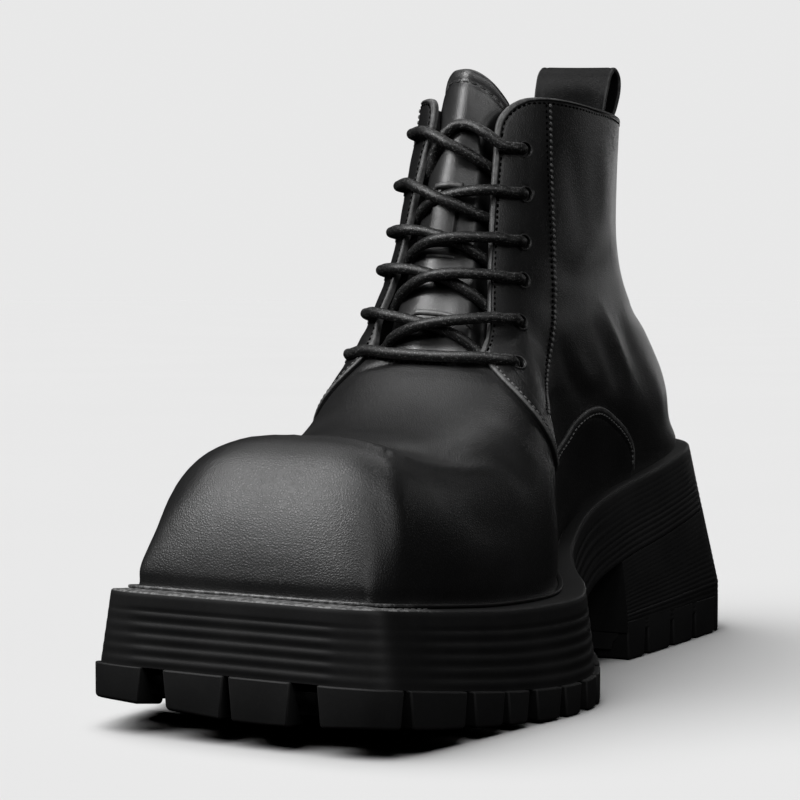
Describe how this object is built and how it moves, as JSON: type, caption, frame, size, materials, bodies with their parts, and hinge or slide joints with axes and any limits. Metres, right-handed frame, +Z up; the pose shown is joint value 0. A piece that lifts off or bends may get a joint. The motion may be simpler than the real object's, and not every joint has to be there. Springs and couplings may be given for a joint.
{
  "type": "platform lace-up ankle boot",
  "caption": "Right ankle boot with a broad square toe, open-tab lacing, a thick ribbed platform with a lugged tread, a block heel and a pull loop.",
  "frame": {"origin": "on the floor plane that the tread stands on, under the middle of the boot's length and width", "axes": "+Z up, -Y towards the toe, +X towards the medial (inner) side of this right boot"},
  "size_m": [0.13, 0.3093, 0.219],
  "materials": {
    "platform_rubber": "matte black, ribbed side",
    "heel_rubber": "matte black, fine ribs",
    "tread_rubber": "matte black lugs",
    "welt_rubber": "satin black strip, stitched",
    "black_leather": "semi-matte black, fine pebble grain",
    "insole_leather": "matte black lining",
    "tongue_leather": "semi-matte black",
    "loop_leather": "satin black strap",
    "waxed_lace": "black waxed braid"
  },
  "bodies": {
    "root": {"midsole": "platform_rubber", "heel_block": "heel_rubber", "forefoot_tread": "tread_rubber", "heel_tread": "tread_rubber", "welt": "welt_rubber", "upper": "black_leather", "insole": "insole_leather", "tongue": "tongue_leather", "pull_loop": "loop_leather", "lace_bar": "waxed_lace", "lace_cross_1": "waxed_lace", "lace_cross_2": "waxed_lace", "lace_cross_3": "waxed_lace", "lace_cross_4": "waxed_lace", "lace_cross_5": "waxed_lace"}
  },
  "joints": []
}
